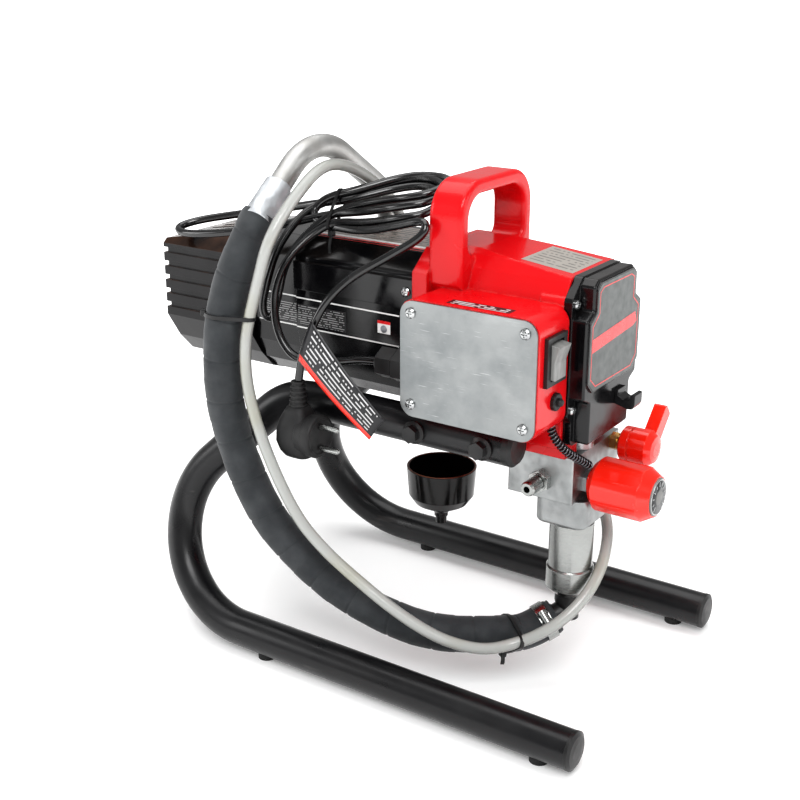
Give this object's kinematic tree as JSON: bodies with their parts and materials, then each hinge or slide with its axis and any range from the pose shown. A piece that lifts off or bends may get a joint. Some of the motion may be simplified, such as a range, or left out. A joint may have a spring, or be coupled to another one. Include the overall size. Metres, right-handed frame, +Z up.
{
  "type": "airless paint sprayer",
  "caption": "Electric airless paint sprayer on a tubular stand: gear housing with carry handle, ribbed motor cover, piston pump, pressure knob, suction and return hoses, cord and plug.",
  "frame": {"origin": "floor level, under the middle of the whole object's footprint", "axes": "+X to the front (pump side), +Y to the sprayer's left, +Z up"},
  "size_m": [0.481, 0.2998, 0.454],
  "materials": {
    "red_paint": "gloss",
    "black_tube_paint": "semi-gloss",
    "black_gloss_plastic": "gloss",
    "black_satin_plastic": "satin",
    "cast_aluminium": "satin, lightly textured",
    "sheet_aluminium": "satin, fine scuffs",
    "bent_tube_aluminium": "matte",
    "foil": "creased foil",
    "steel": "brushed",
    "zinc_steel": "satin zinc",
    "chrome": "polished",
    "brass": "satin",
    "orange_red_plastic": "gloss",
    "grey_plastic": "satin",
    "black_rubber": "matte",
    "cord_rubber": "semi-gloss",
    "foam_wrap": "soft matte with seams",
    "clear_hose": "translucent",
    "tag_card": "satin film",
    "ferrite": "sintered",
    "laminated_steel": "stacked laminations",
    "carbon": "dull",
    "circuit_board": "satin",
    "packing": "waxy",
    "gear_steel": "ground, oiled",
    "fan_plastic": "satin"
  },
  "bodies": {
    "frame": {"ball_bearings": "chrome", "breaker_body": "black_satin_plastic", "brush_sets": "carbon", "cable_gland": "black_satin_plastic", "control_board": "circuit_board", "control_plate": "sheet_aluminium", "cord_tag": "tag_card", "cover_screws": "chrome", "drain_barb": "brass", "drip_cup": "black_satin_plastic", "drive_housing": "red_paint", "fan_cover": "black_gloss_plastic", "field_magnets": "ferrite", "front_cover": "black_gloss_plastic", "hose_clamp": "steel", "hose_ties": "black_satin_plastic", "inlet_elbow": "black_satin_plastic", "inlet_housing": "steel", "lower_end_caps": "black_satin_plastic", "motor_can": "zinc_steel", "motor_front_plate": "cast_aluminium", "motor_shroud": "black_gloss_plastic", "outlet_fitting": "steel", "packing_nut": "zinc_steel", "pail_hook": "zinc_steel", "plate_screws": "chrome", "plug_body": "black_rubber", "plug_pins": "steel", "power_cord": "cord_rubber", "pressure_control": "zinc_steel", "prime_valve": "brass", "pump_cylinder": "steel", "pump_manifold": "cast_aluminium", "return_hose": "clear_hose", "sensor_cable": "black_satin_plastic", "shroud_screws": "chrome", "stand_bolts": "zinc_steel", "stand_feet": "black_rubber", "stand_tube_left": "black_tube_paint", "stand_tube_right": "black_tube_paint", "suction_hose": "foam_wrap", "suction_strainer": "zinc_steel", "suction_tube": "bent_tube_aluminium", "switch_body": "black_satin_plastic", "throat_packings": "packing", "tube_sleeve": "foil", "upper_end_caps": "black_satin_plastic"},
    "armature": {"armature_core": "laminated_steel", "armature_shaft": "gear_steel", "cooling_fan": "fan_plastic"},
    "cluster_gear": {"cluster_gear": "gear_steel"},
    "crank_gear": {"crank_gear": "gear_steel"},
    "piston": {"piston_rod": "steel", "piston_yoke": "zinc_steel"},
    "rocker": {"rocker_switch": "grey_plastic"},
    "breaker_button": {"breaker_button": "black_satin_plastic"},
    "pressure_knob": {"knob_cap": "grey_plastic", "pressure_knob": "orange_red_plastic"},
    "prime_lever": {"prime_valve_handle": "orange_red_plastic"},
    "inlet_ball": {"inlet_ball": "chrome"}
  },
  "joints": [
    {"name": "armature_spin", "type": "hinge", "parent": "frame", "child": "armature", "pos_m": [-0.0385, 0, 0.3], "axis": [1, 0, 0], "continuous": true},
    {"name": "cluster_spin", "type": "hinge", "parent": "frame", "child": "cluster_gear", "pos_m": [0.0765, 0, 0.264], "axis": [1, 0, 0], "continuous": true},
    {"name": "crank_spin", "type": "hinge", "parent": "frame", "child": "crank_gear", "pos_m": [0.1115, 0, 0.3], "axis": [1, 0, 0], "continuous": true},
    {"name": "piston_slide", "type": "slide", "parent": "frame", "child": "piston", "axis": [0, 0, 1], "range_m": [-0.011, 0.011]},
    {"name": "rocker_tilt", "type": "hinge", "parent": "frame", "child": "rocker", "pos_m": [0.174, -0.074, 0.3115], "axis": [0, 1, 0], "range_deg": [-16, 0]},
    {"name": "breaker_push", "type": "slide", "parent": "frame", "child": "breaker_button", "axis": [1, 0, 0], "range_m": [0, 0.004]},
    {"name": "knob_turn", "type": "hinge", "parent": "frame", "child": "pressure_knob", "pos_m": [0.2015, -0.004, 0.187], "axis": [1, 0, 0], "range_deg": [-135, 135]},
    {"name": "prime_lever_turn", "type": "hinge", "parent": "frame", "child": "prime_lever", "pos_m": [0.2015, 0.042, 0.2075], "axis": [1, 0, 0], "range_deg": [-90, 0]},
    {"name": "inlet_ball_lift", "type": "slide", "parent": "frame", "child": "inlet_ball", "axis": [0, 0, 1], "range_m": [0, 0.003]}
  ],
  "couplings": [
    {"joint": "cluster_spin", "follows": "armature_spin", "ratio": -0.24138},
    {"joint": "crank_spin", "follows": "armature_spin", "ratio": 0.089655}
  ]
}
